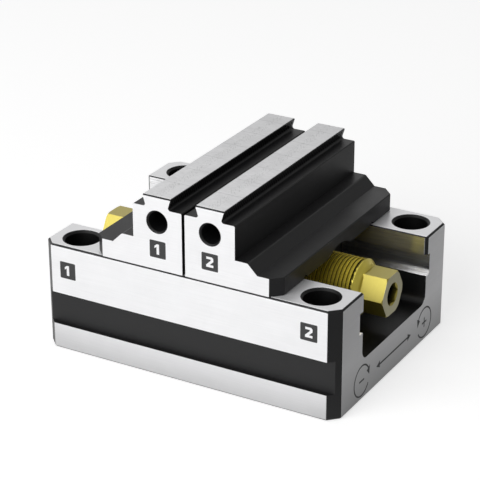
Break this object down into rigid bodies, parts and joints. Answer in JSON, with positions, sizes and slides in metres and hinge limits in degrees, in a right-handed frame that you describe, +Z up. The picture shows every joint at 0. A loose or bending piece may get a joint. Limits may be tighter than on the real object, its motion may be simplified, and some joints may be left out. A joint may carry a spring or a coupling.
{
  "type": "self centering vise",
  "caption": "Compact vise with two one-piece dovetail jaws that a left- and right-hand spindle moves together or apart in a T-slotted channel of a rectangular body.",
  "frame": {"origin": "centre of the body's seat face, midway between the jaws", "axes": "+X along the spindle towards the end with the left-hand thread, +Y across the jaws away from the viewer of the picture, +Z up, out of the body"},
  "size_m": [0.08, 0.06, 0.0465],
  "materials": {
    "body_steel": "hardened steel, ground on the outside faces, blackened in the groove, the chamfers and the channel",
    "jaw_steel": "hardened steel, ground on rail tops and ends, blackened on flanks and feet",
    "spindle_gold": "hardened steel with a yellow-gold coating",
    "bearing_steel": "blackened steel",
    "screw_steel": "black oxide",
    "dowel_steel": "ground"
  },
  "bodies": {
    "body": {"base_body": "body_steel", "bearing_block": "bearing_steel", "bearing_cap": "bearing_steel", "screw_front": "screw_steel", "screw_rear": "screw_steel", "dowel_front": "dowel_steel", "dowel_rear": "dowel_steel"},
    "left_jaw": {"left_jaw": "jaw_steel"},
    "right_jaw": {"right_jaw": "jaw_steel"},
    "spindle": {"spindle": "spindle_gold"}
  },
  "joints": [
    {"name": "spindle_turn", "type": "hinge", "parent": "body", "child": "spindle", "pos_m": [0, 0, 0.02], "axis": [1, 0, 0], "range_deg": [-126.1, 9270.1]},
    {"name": "right_jaw_slide", "type": "slide", "parent": "body", "child": "right_jaw", "axis": [1, 0, 0], "range_m": [-0.00035, 0.02575]},
    {"name": "left_jaw_slide", "type": "slide", "parent": "body", "child": "left_jaw", "axis": [-1, 0, 0], "range_m": [-0.00036, 0.02576]}
  ],
  "couplings": [
    {"joint": "spindle_turn", "follows": "right_jaw_slide", "rad_per_m": 6283.2},
    {"joint": "left_jaw_slide", "follows": "right_jaw_slide", "ratio": 1}
  ]
}
